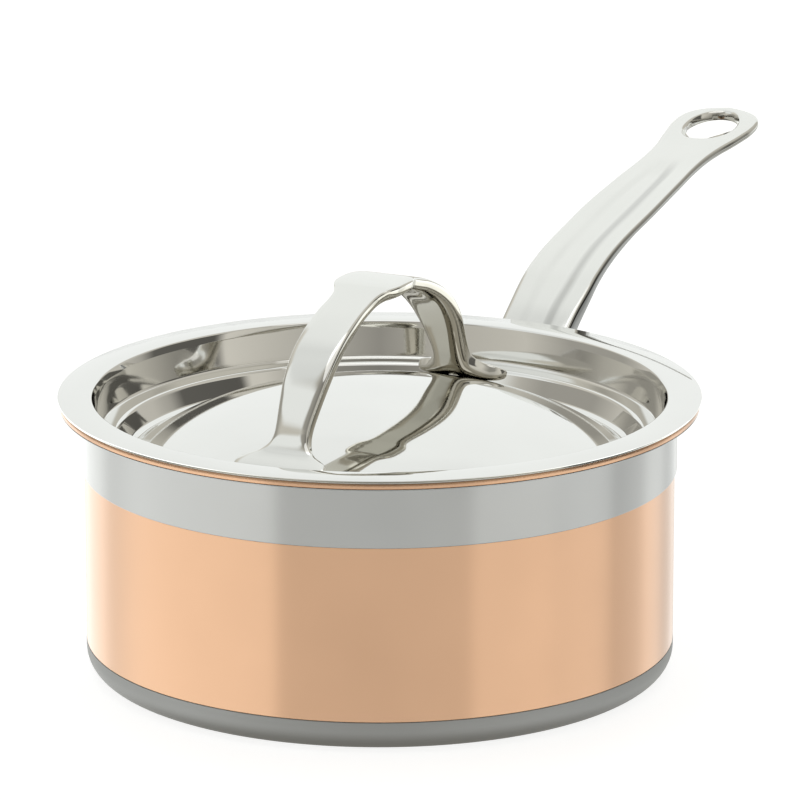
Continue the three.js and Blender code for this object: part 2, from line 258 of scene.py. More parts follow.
# ---- materials ----
class Nodes:
    """Short calls for building one material's nodes."""

    def __init__(self, name):
        self.material = bpy.data.materials.new(name)
        self.material.use_nodes = True
        self.tree = self.material.node_tree
        self.shader = self.tree.nodes["Principled BSDF"]

    def add(self, kind, links=None, pick=0, **settings):
        """Adds a node, fills its inputs with values or links, and returns the output to pick."""
        node = self.tree.nodes.new(kind)
        for key, value in settings.items():
            setattr(node, key, value)
        for socket, value in (links or {}).items():
            if isinstance(value, bpy.types.NodeSocket):
                self.tree.links.new(value, node.inputs[socket])
            else:
                node.inputs[socket].default_value = value
        return node.outputs[pick]

    def place(self, scale, turn=(0, 0, 0)):
        """Places on the object in metres, stretched by scale and turned."""
        coordinates = self.tree.nodes.new("ShaderNodeTexCoord")
        return self.add(
            "ShaderNodeMapping",
            {"Vector": coordinates.outputs["Object"], "Scale": scale, "Rotation": turn},
        )

    def noise(self, vector, scale, detail=3, roughness=0.5):
        return self.add(
            "ShaderNodeTexNoise", {"Vector": vector, "Scale": scale, "Detail": detail, "Roughness": roughness}
        )

    def between(self, value, low, high, start=0.3, end=0.7):
        """Stretches a value so that start gives low and end gives high."""
        return self.add(
            "ShaderNodeMapRange",
            {"Value": value, "From Min": start, "From Max": end, "To Min": low, "To Max": high},
        )

    def blend(self, factor, first, second):
        """A colour between two, which may be values or sockets."""
        node = self.tree.nodes.new("ShaderNodeMix")
        node.data_type = "RGBA"
        self.tree.links.new(factor, node.inputs["Factor"])
        for socket, value in (("A", first), ("B", second)):
            if isinstance(value, bpy.types.NodeSocket):
                self.tree.links.new(value, node.inputs[socket])
            else:
                node.inputs[socket].default_value = value
        return next(o for o in node.outputs if o.type == "RGBA")

    def upward(self):
        """How far the surface faces up, from -1 to 1."""
        surface = self.tree.nodes.new("ShaderNodeNewGeometry")
        parts = self.tree.nodes.new("ShaderNodeSeparateXYZ")
        self.tree.links.new(surface.outputs["Normal"], parts.inputs[0])
        return parts.outputs["Z"]

    def wire(self, socket, value):
        """Gives one input of the shader its value or its link."""
        if isinstance(value, bpy.types.NodeSocket):
            self.tree.links.new(value, self.shader.inputs[socket])
        else:
            self.shader.inputs[socket].default_value = value

    def bump(self, height, strength, distance, normal=None):
        links = {"Height": height, "Strength": strength, "Distance": distance}
        if normal is not None:
            links["Normal"] = normal
        return self.add("ShaderNodeBump", links)


def shaded(colour, factor):
    """The colour made lighter or darker."""
    return (colour[0] * factor, colour[1] * factor, colour[2] * factor, 1)


BRUSH_RUN = 14  # how quickly a brushed line changes along its length, against its grain across
SCRATCHES = (60, 1800, 400)
SCRATCH_TURN = (0.3, 0.2, 0.6)
PAINTED_SHADE_TINT = (1, 0.96, 0.87)  # warmth of the painted shade on the sides and undersides of a casting


def brushed(name, base, low, high, grain, anisotropy, wear, marked=1.0):
    """Metal brushed round the pan: fine level lines and uneven gloss.

    The roughness runs from low to high, grain is how close the lines lie, and marked is how
    clearly they show.
    """
    nodes = Nodes(name)
    lines = nodes.noise(nodes.place((BRUSH_RUN, BRUSH_RUN, grain)), 1, 4, 0.6)
    clouds = nodes.noise(nodes.place((1, 1, 1)), 28, 3)
    dark, pale = shaded(base, 1 - 0.1 * marked), shaded(base, 1 + 0.06 * marked)
    tint = nodes.blend(nodes.between(lines, 0, 1, 0.25, 0.75), dark, pale)
    gloss = nodes.add(
        "ShaderNodeMath",
        {0: nodes.between(lines, low, high, 0.2, 0.8), 1: nodes.between(clouds, -0.02 * wear, 0.04 * wear)},
        operation="ADD",
    )
    tangent = nodes.add("ShaderNodeTangent", direction_type="RADIAL", axis="Z")
    nodes.wire("Base Color", tint)
    nodes.wire("Metallic", 1.0)
    nodes.wire("Roughness", gloss)
    nodes.wire("Anisotropic", anisotropy)
    nodes.wire("Anisotropic Rotation", 0.25)
    nodes.wire("Tangent", tangent)
    nodes.wire("Normal", nodes.bump(lines, 0.12 * marked, 0.00004))
    return nodes.material


def polished(name, base, low, high, wear, under=1.0, painted_crease=1.0):
    """Polished steel: a faint haze, hairline scratches, and slow waves left by polishing.

    Painted shade darkens the sides and undersides of a casting to a share of the base colour, under,
    and the lines along its channel and edges towards another share, the last argument.
    """
    nodes = Nodes(name)
    haze = nodes.noise(nodes.place((1, 1, 1)), 35, 4)
    hairs = nodes.noise(nodes.place(SCRATCHES, SCRATCH_TURN), 1, 2)
    waves = nodes.noise(nodes.place((1, 1, 1)), 18, 1)
    tint = nodes.blend(nodes.between(haze, 0, 1), shaded(base, 0.97), base)
    # painted shade on the sides and undersides: what faces less than a little upward takes a darker, warmer copy of
    # the base colour
    if under < 1:
        painted_side_shade = (*(base[i] * under * PAINTED_SHADE_TINT[i] for i in range(3)), 1)
        tint = nodes.blend(nodes.between(nodes.upward(), 0, 1, 0, 0.3), painted_side_shade, tint)
    # painted shade along the channel's creases and the edges, from the vertex share the handle carries
    if painted_crease < 1:
        line = nodes.add("ShaderNodeAttribute", attribute_name="painted_crease", pick="Fac")
        tint = nodes.blend(line, tint, shaded(base, painted_crease))
    gloss = nodes.add(
        "ShaderNodeMath",
        {0: nodes.between(haze, low, high), 1: nodes.between(hairs, 0, 0.08 * wear, 0.62, 0.72)},
        operation="ADD",
    )
    fine = nodes.bump(hairs, 0.03 * wear, 0.00002)
    nodes.wire("Base Color", tint)
    nodes.wire("Metallic", 1.0)
    nodes.wire("Roughness", gloss)
    nodes.wire("Normal", nodes.bump(waves, 0.06, 0.0002, fine))
    return nodes.material


# ---- operators ----
class SAUCEPAN_OT_wall(bpy.types.Operator):
    """Adds the bonded plies: liner, core, copper, steel band and steel base"""

    bl_idname = "saucepan.wall"
    bl_label = "Bonded wall"

    def execute(self, context):
        size, look = context.scene.pan_wall, context.scene.pan_finish
        wear = look.wear
        bore, lip = size.bore_radius / MM, size.lip_radius / MM
        copper_r, band_r, base_r = size.copper_radius / MM, size.band_radius / MM, size.base_radius / MM
        corner, base_top, band_low = size.base_corner / MM, size.base_top / MM, size.band_bottom / MM
        outlines = {
            "liner": [
                (0, 3.26), (bore + 0.5, 3.26, 4.94), (bore + 0.5, 75.31, 3.41), (lip - 0.1, 75.31), (lip, 75.4),
                (lip - 0.06, 75.56), (lip - 0.25, 75.6), (bore, 75.6, 3.7), (bore, 3.9, 6), (0, 3.9),
            ],
            "core": [
                (0, 1.82), (79.16, 1.82, 5.24), (79.16, 9.1), (79.4, 9.5), (79.4, 69.5), (78.86, 69.5),
                (78.86, 3.2, 5), (0, 3.2),
            ],
            "copper": [
                (0, 0.96), (79.5, 0.96, 5.54), (79.5, 8.56), (copper_r, 8.56, 0.12), (copper_r, 73.8, 2.4),
                (lip - 0.14, 73.8), (lip + 0.02, 73.95), (lip + 0.08, 74.5), (lip + 0.02, 75.1),
                (lip - 0.12, 75.25), (78.86, 75.25, 3.35), (78.86, 69.56), (79.46, 69.56), (79.46, 9.5), (79.22, 9.1),
                (79.22, 1.76, 5.3), (0, 1.76),
            ],
            "band": [
                (copper_r + 0.06, 65), (copper_r + 0.06, band_low, 0.05), (band_r, band_low, 0.22),
                (band_r, 73.45, 2), (lip - 0.16, 73.45), (lip - 0.04, 73.52), (lip - 0.04, 73.68),
                (lip - 0.1, 73.74), (copper_r + 0.06, 73.74, 2.34), (copper_r + 0.06, 65),
            ],
            "base": [
                (0, 0), (base_r, 0, corner), (base_r, base_top, 0.18), (79.56, base_top), (79.56, 0.9, 5.6),
                (0, 0.9),
            ],
        }
        # painted shade: the base takes a darker copy of the band's satin colour
        painted_shade_satin = shaded(look.satin, 0.92)
        looks = {
            "liner": (brushed("brushed_liner", look.liner, 0.24, 0.34, 2600, 0.6, wear), "steel_liner"),
            "core": (brushed("dull_aluminium", look.core, 0.4, 0.5, 900, 0.3, wear), "core"),
            "copper": (brushed("brushed_copper", look.copper, 0.24, 0.255, 2600, 1.0, wear, 0.2), "copper"),
            "band": (brushed("satin_band", look.satin, 0.24, 0.255, 2600, 1.0, wear, 0.2), "satin_steel"),
            "base": (brushed("satin_base", painted_shade_satin, 0.6, 0.65, 1500, 0.1, wear, 0.2), "satin_steel"),
        }
        nodes = {
            "liner": "inner_liner", "core": "aluminium_core", "copper": "copper_shell",
            "band": "rim_band", "base": "base_cup",
        }
        for name, corners in outlines.items():
            outline = [point * MM for point in rounded(corners)]
            material, slot = looks[name]
            piece(f"pan_{name}", spun(outline, size.steps), material, "pan", slot, nodes[name])
        return {"FINISHED"}


# Heights and half-widths of the long handle by distance from the pan's axis, in millimetres.
HANDLE_TOP = [
    (80, 53.5), (84, 58.2), (90, 63.5), (97, 69.2), (105, 75.2), (115, 81.3), (120, 83.9), (130, 87.5), (140, 90),
    (160, 94), (180, 97.4), (200, 100.4), (220, 103.1), (235, 105.4), (243, 106.4),
]
HANDLE_DEPTH = [(80, 12), (90, 9.4), (100, 7.4), (110, 5.2), (120, 3.7), (130, 3), (145, 2.6), (243, 2.6)]
HANDLE_HALF = [
    (80, 11.4), (90, 10.8), (105, 10.8), (115, 11.2), (127, 11), (140, 10.8), (160, 10.9), (180, 10.2),
    (192, 9.6), (202, 9.6), (210, 10.3), (218, 11.7), (226, 12.9),
]
KEEL_LOW = [
    (80, 44), (95, 56.5), (108, 66), (118, 71), (126, 73.4), (133, 75.6), (138, 78.6), (143, 83.5), (148, 90),
]
KEEL_HALF = 6.2
KEEL_END = 148
STRAP_START = 145  # from here on the handle is a strap of even thickness
TIP_START = 226
TIP_POWERS = (3, 2.1)  # how blunt the end is
FAR_OFF = 99
COLUMNS = 20  # faces across each half
ROOT = 81.3  # where the handle starts, inside its mounting plate
LEAD, TRAIL = 2, 1.6  # close rows before and after the hole reach this far
SHAFT_ROWS, LEAD_ROWS, HOLE_ROWS, TRAIL_ROWS, TIP_ROWS = 86, 8, 40, 7, 26
EDGE_ROUND = 1.25
LIP_ROUND = 1.5
UNDER_ROUND, UNDER_LIP_ROUND = 1.1, 0.8
FACE_SINK = 0.35  # the plain face lies this far under HANDLE_TOP
CROWN = 0.5
CHANNEL_START, CREASE_SHADE_START = (104, 122), (86, 100)  # where the channel, and the painted shade along its creases, come in
CHANNEL_END = (182, 198)
CREASE_SHADE = {-1: 0.05, 1: 0.34}  # how dark the painted shade along the crease is on each side; the +x side is painted darker


def channel_share(y, start):
    """How much of the channel there is at y: none before its start, all of it once it has come in."""
    return ease(*start, y) * (1 - ease(*CHANNEL_END, y))


def handle_half(y, far):
    """Half of the handle's width; its end closes as a flattened round."""
    if y <= TIP_START:
        return through(HANDLE_HALF, y)
    t = (y - TIP_START) / (far - TIP_START)
    fall, spread = TIP_POWERS
    return through(HANDLE_HALF, TIP_START) * (1 + 0.04 * t) * max(0, 1 - t**fall) ** (1 / spread)


def hole_half(y, size):
    """Half of the hanging hole's width; the hole is a little fuller towards the handle's end."""
    near, far = size.hole_near / MM, size.hole_far / MM
    t = (y - (near + far) / 2) / ((far - near) / 2)
    if abs(t) >= 1:
        return 0
    return size.hole_half / MM * sqrt(1 - t * t) * (1 + 0.16 * t)


def handle_rows(size, tip):
    """Distances from the pan's axis at which the handle's mesh has a row, and the rows inside the hole."""
    near, far = size.hole_near / MM, size.hole_far / MM
    middle, reach = (near + far) / 2, (far - near) / 2
    shaft = [ROOT + (near - LEAD - ROOT) * i / SHAFT_ROWS for i in range(SHAFT_ROWS)]
    before = [near - LEAD * (1 - i / LEAD_ROWS) ** 1.5 for i in range(LEAD_ROWS)]
    inside = [middle - reach * cos(pi * i / HOLE_ROWS) for i in range(HOLE_ROWS + 1)]
    after = [far + TRAIL * (i / TRAIL_ROWS) ** 1.3 for i in range(1, TRAIL_ROWS + 1)]
    end = [tip - (tip - far - TRAIL) * (1 - i / TIP_ROWS) ** 2 for i in range(1, TIP_ROWS + 1)]
    first = SHAFT_ROWS + LEAD_ROWS
    return [*shaft, *before, *inside, *after, *end], range(first, first + HOLE_ROWS)


class SAUCEPAN_OT_handle(bpy.types.Operator):
    """Adds the cast long handle with its channel, heel, hanging hole and mounting plate"""

    bl_idname = "saucepan.handle"
    bl_label = "Long handle"

    def execute(self, context):
        size, look = context.scene.pan_handle, context.scene.pan_finish
        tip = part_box("long_handle")[1].y / MM
        rows, hole_rows = handle_rows(size, tip)
        strap, channel, shoulder = size.strap / MM, size.channel / MM, size.shoulder / MM
        middle = (size.hole_near + size.hole_far) / 2 / MM
        reach = (size.hole_far - size.hole_near) / 2 / MM

        def to_hole(x, y):
            """Distance from the hanging hole's edge, near enough for rounding its lip."""
            across_hole, along_hole = x / (size.hole_half / MM), (y - middle) / reach
            ring = hypot(across_hole, along_hole)
            if ring < 0.3:
                return FAR_OFF
            slope = hypot(across_hole / (size.hole_half / MM), along_hole / reach) / ring
            return abs(ring - 1) / slope

        def spot(column, row):
            """Where a point of the grid lies: its distance sideways, along, and half the width there."""
            y = rows[row]
            half = handle_half(y, tip)
            side = -1 if column <= COLUMNS else 1
            step = COLUMNS - column if side < 0 else column - COLUMNS - 1
            part = (1 - cos(pi * step / COLUMNS)) / 2
            inner = hole_half(y, size)
            return side * (inner + (max(half, inner) - inner) * part), y, half

        def edge_distance(x, y, half):
            """Distance from the handle's outline, square to it."""
            near_tip = y >= tip - 0.06
            lean = FAR_OFF if near_tip else (handle_half(y + 0.05, tip) - handle_half(y - 0.05, tip)) / 0.1
            return (half - abs(x)) / sqrt(1 + lean * lean)

        def top(x, y, half):
            edge = edge_distance(x, y, half)
            fade = channel_share(y, CHANNEL_START)
            dip = channel * fade * ease(shoulder - 0.9, shoulder + 0.9, edge)
            crown = CROWN * (1 - fade) * (1 - (min(abs(x) / max(half, 0.1), 1)) ** 2) * ease(0, 3, edge)
            lip = shoulder_drop(to_hole(x, y), LIP_ROUND)
            fall = max(shoulder_drop(edge, EDGE_ROUND), lip)
            return through(HANDLE_TOP, y) - FACE_SINK - dip + crown - fall

        def under(x, y, half):
            edge = edge_distance(x, y, half)
            depth = through(HANDLE_DEPTH, y) if y < STRAP_START else strap
            plain = through(HANDLE_TOP, y) - FACE_SINK - depth
            rise = max(shoulder_drop(edge, UNDER_ROUND), shoulder_drop(to_hole(x, y), UNDER_LIP_ROUND))
            keel = min(plain, through(KEEL_LOW, y)) if y < KEEL_END else plain
            spread = 1 / (1 + (abs(x) / KEEL_HALF) ** 6)
            return plain + (keel - plain) * spread + rise

        def upper(column, row):
            x, y, half = spot(column, row)
            return Vector((x, y, top(x, y, half))) * MM

        bm, cells = mapped_grid(2 * COLUMNS + 1, len(rows) - 1, upper)
        opened = []
        for face in bm.faces:
            columns = {cells[v][0] for v in face.verts}
            first_row = min(cells[v][1] for v in face.verts)
            if columns == {COLUMNS, COLUMNS + 1} and first_row in hole_rows:
                opened.append(face)
        bmesh.ops.delete(bm, geom=opened, context="FACES")
        grown = bmesh.ops.extrude_face_region(bm, geom=bm.faces[:])
        for vert in (g for g in grown["geom"] if isinstance(g, bmesh.types.BMVert)):
            x, y = vert.co.x / MM, vert.co.y / MM
            vert.co.z = min(under(x, y, handle_half(y, tip)) * MM, vert.co.z)
        close(bm)
        # painted shade on the handle: a share per vertex along the channel's creases (line) and round the outline's
        # edges (rim), weaker towards the hole
        painted_crease = bm.verts.layers.float.new("painted_crease")
        for vert in bm.verts:
            x, y = vert.co.x / MM, vert.co.y / MM
            edge = edge_distance(x, y, handle_half(y, tip))
            line = channel_share(y, CREASE_SHADE_START) * (1 - ease(0.6, 1.8, abs(edge - shoulder)))
            rim = (1 - ease(0.1, 0.7, edge)) * (1 - 0.35 * ease(120, 150, y)) * (1 - 0.8 * ease(196, 216, y))
            vert[painted_crease] = max(line * CREASE_SHADE[1 if x > 0 else -1], rim)
        self.add_plate(bm)
        # the last two shares are painted shade: on the sides and undersides, and along the creases and edges
        steel = polished("cast_steel_handle", look.cast, 0.09, 0.15, look.wear, 0.22, 0.15)
        piece("pan_handle", bm, steel, "pan", "cast_steel", "long_handle", 50)
        return {"FINISHED"}

    def add_plate(self, bm):
        """The curved mounting plate, with its outer face crowned towards its rounded border."""
        inner, thick = 80.9, 3.4
        half, low, high = 23, 38.5, 66
        count_x, count_z = 46, 30

        def shape(column, row):
            u = -cos(pi * column / count_x)
            v = -cos(pi * row / count_z)
            x = half * u * sqrt(1 - 0.42 * v * v)
            z = (low + high) / 2 + (high - low) / 2 * v * sqrt(1 - 0.42 * u * u)
            edge = (1 - max(abs(u) ** 3, abs(v) ** 3)) * 4
            radius = inner + thick - shoulder_drop(edge, 1.4) - 0.2
            return Vector((x, sqrt(radius * radius - x * x), z)) * MM

        plate, _ = mapped_grid(count_x, count_z, shape)
        grown = bmesh.ops.extrude_face_region(plate, geom=plate.faces[:])
        for vert in (g for g in grown["geom"] if isinstance(g, bmesh.types.BMVert)):
            vert.co.y = sqrt((inner * MM) ** 2 - vert.co.x**2)
        close(plate)
        mesh = bpy.data.meshes.new("plate")
        plate.to_mesh(mesh)
        plate.free()
        bm.from_mesh(mesh)
        bpy.data.meshes.remove(mesh)


RIVET_TURN = 9.5  # degrees round the pan from the handle's middle
RIVET_HEIGHT = 50.5
RIVET_SHANK = 2.6
RIVET_INNER, RIVET_OUTER = 78.0, 84.35  # from the pan's axis to the seats of the two heads


class SAUCEPAN_OT_handle_rivets(bpy.types.Operator):
    """Adds the two rivets that hold the long handle"""

    bl_idname = "saucepan.handle_rivets"
    bl_label = "Handle rivets"

    def execute(self, context):
        size, look = context.scene.pan_handle, context.scene.pan_finish
        head = size.rivet_head / MM
        steel = polished("rivet_steel", shaded(look.cast, 0.94), 0.2, 0.3, look.wear)
        inner, outer = RIVET_INNER, RIVET_OUTER
        outline = [
            (0, inner - 0.35), (head - 1.2, inner - 0.3, 3), (head, inner + 0.25, 0.4), (head, inner + 0.7),
            (RIVET_SHANK, inner + 0.7), (RIVET_SHANK, outer), (head, outer), (head, outer + 0.5, 0.5),
            (head - 1.4, outer + 1.5, 2), (0, outer + 1.75),
        ]
        for side, sign in (("left", 1), ("right", -1)):
            bm = spun([point * MM for point in rounded(outline)], 48)
            turn = Matrix.Rotation(radians(RIVET_TURN * sign), 4, "Z") @ Matrix.Rotation(radians(-90), 4, "X")
            placed = Matrix.Translation((0, 0, RIVET_HEIGHT * MM)) @ turn
            bmesh.ops.transform(bm, matrix=placed, verts=bm.verts)
            piece(f"pan_rivet_{side}", bm, steel, "pan", "cast_steel", f"handle_rivet_{side}")
        return {"FINISHED"}


def dome_height(radius, size):
    """Height of the lid's dome at a distance from its middle."""
    rise = (size.dome_top - size.dome_foot) / MM
    return size.dome_top / MM - rise * min(radius / (size.dome_radius / MM), 1) ** 3


class SAUCEPAN_OT_lid(bpy.types.Operator):
    """Adds the pressed lid: flat rim, deep well, bead, groove and dome"""

    bl_idname = "saucepan.lid"
    bl_label = "Lid"

    def execute(self, context):
        size, look = context.scene.pan_lid, context.scene.pan_finish
        rim, top, sheet = size.rim_radius / MM, size.rim_top / MM, size.sheet / MM
        foot = size.dome_radius / MM
        pressing = rounded([
            (rim, top - 0.22), (rim - 0.02, top - 0.06), (rim - 0.12, top), (77.95, top, 0.8), (77.3, 74.2, 2),
            (75.9, 66.0, 1.0), (71.2, 65.65, 1.8), (68.7, 60.7, 0.9), (foot + 0.6, 59.75, 1.0), (foot - 0.9, 60.8),
        ])
        dome = [Vector((r, dome_height(r, size))) for r in (foot * (1 - i / 64) for i in range(1, 65))]
        path = [*pressing[:-1], *dome]
        outline = [point * MM for point in thickened(path, sheet)]
        for point in (outline[len(path) - 1], outline[len(path)]):
            point.x = 0
        steel = polished("mirror_steel_lid", look.polished, 0.03, 0.07, look.wear)
        piece("lid_sheet", spun(outline, size.steps), steel, "lid", "mirror_steel", "lid")
        return {"FINISHED"}


# Half of the lid's handle from the crown out to the end of a foot, in millimetres: place and height of the
# outer face, thickness, and half width.
ARCH_ROWS = [
    (0, 109.1, 4.3, 9.9),
    (4, 109, 4.3, 9.7),
    (7, 108.7, 4.2, 8.8),
    (9.3, 108.1, 4, 7.6),
    (12, 107.3, 4, 6.7),
    (16, 106.2, 4.1, 6.5),
    (21, 104.8, 4.3, 6.6),
    (26, 102.8, 4.5, 6.7),
    (30.5, 100.6, 4.7, 6.7),
    (34.7, 98, 4.9, 6.7),
    (38.3, 95.1, 5, 6.6),
    (41.3, 92, 5, 6.4),
    (43.7, 89, 5, 6.1),
    (45.7, 86, 5, 5.7),
    (47.6, 83, 5, 5.3),
    (49.3, 80, 5, 5),
    (50.6, 77.5, 5.1, 5.1),
    (51.8, 75.6, 5.4, 6),
    (53.1, 74, 5.2, 8.4),
    (54.6, 72.9, 4.8, 11.8),
    (56.6, 71.7, 4.4, 13.3),
    (58.4, 70.5, 3.2, 12.6),
    (59.4, 69.2, 1.6, 9.5),
]
ARCH_STEPS = 150
ARCH_ROUND = 56
FACE_SHARE = 0.4  # part of the thickness above the widest line
FACE_SQUARE, BACK_SQUARE = 5.5, 3.2  # how square the section is above and below that line
ARCH_PROBE = 0.05  # step along the rows for finding the arch's direction
FOOT_GAP = 0.05
FOOT_RIVET = 51  # from the arch's middle to each rivet


class SAUCEPAN_OT_lid_handle(bpy.types.Operator):
    """Adds the cast arch on the lid, with its broad crown, slim legs and spread feet"""

    bl_idname = "saucepan.lid_handle"
    bl_label = "Lid handle"

    def execute(self, context):
        size, look = context.scene.pan_lid, context.scene.pan_finish
        tables = [[(i, row[k]) for i, row in enumerate(ARCH_ROWS)] for k in range(4)]
        last = len(ARCH_ROWS) - 1
        middle = size.arch_middle / MM

        def shape(column, row):
            side = 2 * row / ARCH_STEPS - 1
            t = abs(side) * last
            sign = -1 if side < 0 else 1
            y, z, thick, half = (through(table, t) for table in tables)
            ahead = Vector((through(tables[0], t + ARCH_PROBE) - y, through(tables[1], t + ARCH_PROBE) - z))
            if t > last - ARCH_PROBE:
                ahead = Vector((y - through(tables[0], t - ARCH_PROBE), z - through(tables[1], t - ARCH_PROBE)))
            inward = Vector((ahead.y, -ahead.x)).normalized()
            if row in (0, ARCH_STEPS):
                half = 0
                thick *= 0.5
            angle = 2 * pi * column / ARCH_ROUND
            wide, deep = cos(angle), sin(angle)
            square, reach = (FACE_SQUARE, FACE_SHARE) if deep > 0 else (BACK_SQUARE, FACE_SHARE - 1)
            x = half * abs(wide) ** (2 / square) * (1 if wide > 0 else -1)
            level = FACE_SHARE - reach * abs(deep) ** (2 / square)
            if row in (0, ARCH_STEPS):
                level = 0.5
            place = Vector((x, sign * (y + inward.x * thick * level) + middle, z + inward.y * thick * level))
            place.z = max(place.z, dome_height(place.xy.length, size) + FOOT_GAP)
            return place * MM

        bm, _ = mapped_grid(ARCH_ROUND, ARCH_STEPS, shape)
        close(bm)
        # the last share, 0.6, is painted shade on the arch's sides and undersides
        steel = polished("cast_steel_arch", look.cast, 0.05, 0.1, look.wear, 0.6)
        piece("lid_arch", bm, steel, "lid", "cast_steel", "lid_handle", 50)
        return {"FINISHED"}


class SAUCEPAN_OT_lid_rivets(bpy.types.Operator):
    """Adds the rivets that hold the lid's handle, with low heads under the lid"""

    bl_idname = "saucepan.lid_rivets"
    bl_label = "Lid rivets"

    def execute(self, context):
        size, look = context.scene.pan_lid, context.scene.pan_finish
        steel = polished("lid_rivet_steel", shaded(look.cast, 0.94), 0.15, 0.25, look.wear)
        outline = [
            (0, -2.2), (2, -2.1, 2), (3.2, -1.3, 0.5), (3.2, -0.7), (1.9, -0.7), (1.9, 1.6), (0, 1.6),
        ]
        for side, sign in (("front", -1), ("rear", 1)):
            y = size.arch_middle / MM + sign * FOOT_RIVET
            height = dome_height(abs(y), size)
            lean = atan(dome_height(abs(y) - 0.5, size) - dome_height(abs(y) + 0.5, size))
            bm = spun([point * MM for point in rounded(outline)], 40)
            placed = Matrix.Translation((0, y * MM, height * MM)) @ Matrix.Rotation(-sign * lean, 4, "X")
            bmesh.ops.transform(bm, matrix=placed, verts=bm.verts)
            piece(f"lid_rivet_{side}_turned", bm, steel, "lid", "cast_steel", f"lid_rivet_{side}")
        return {"FINISHED"}


# ---- studio ----
# Light of the room in rings, each a list of degrees to the right of the camera and a brightness.
SWEEP = [  # the pale sweep on which the pan stands
    (-180, 0.55), (-174, 0.55), (-168, 1.9), (-136, 2.0), (-130, 1.6), (-110, 2.15), (-43, 2.2), (-39, 1.58),
    (35, 1.58), (38, 1.98), (99, 1.9), (102, 1.35), (123, 1.35), (125, 1.8), (140, 1.75), (143, 1.2),
    (156, 1.2), (160, 1.5), (168, 1.5), (172, 0.55), (180, 0.55),
]
WALLS = [  # the dim room round the stand, with a bright wall behind it
    (-180, 0.97), (-152, 0.96), (-148, 0.52), (-135, 0.58), (-115, 0.36), (-85, 0.36), (-62, 0.6), (-25, 0.48),
    (0, 0.3), (25, 0.46), (66, 0.66), (71, 0.1), (104, 0.12), (112, 0.4), (124, 0.55),
    (148, 0.58), (152, 0.97), (180, 0.98),
]
UPPER = [  # lit panels above the walls
    (-180, 0.95), (-150, 0.95), (-145, 0.68), (-104, 0.62), (-99, 0.9), (-54, 0.9), (-48, 0.35), (0, 0.22),
    (30, 0.28), (60, 0.65), (110, 0.62), (142, 0.55), (149, 0.98), (180, 0.98),
]
CEILING = [  # the light overhead, brighter behind the stand
    (-180, 0.95), (-140, 0.9), (-115, 0.78), (-95, 0.8), (-74, 0.76), (-60, 0.45), (-48, 0.32), (0, 0.2), (75, 0.42),
    (110, 0.6), (140, 0.56), (150, 0.92), (180, 0.95),
]
GROUND = 0.5  # what faces straight down sees
WARM = (1.0, 0.96, 0.86)  # tint of whatever is dim
COOL = (0.98, 1.0, 0.985)
DIM = 0.7  # anything less bright than this is dim
GROUND_TOP = (-0.72, -0.56)  # sines of the heights between which one ring gives way to the next
WALLS_LOW = (-0.1, -0.02)
UPPER_LOW = (0.54, 0.6)
CEILING_LOW = (0.72, 0.82)
ROOM_PEAK = 2.5  # brightness that the rings are scaled by
FLOOR_RADIUS, FLOOR_DROP = 6, 0.0002
LAMP_PLACE, LAMP_SIZE, LAMP_POWER = (0.25, -0.3, 1.9), 1.6, 4
BACKDROP = 1.1
# The camera's height, distance and lens in millimetres, and its turns in degrees.
CAMERA = {"height": 532.1, "reach": 1674.06, "lens": 288.47, "pitch": 74.701, "yaw": -0.188}


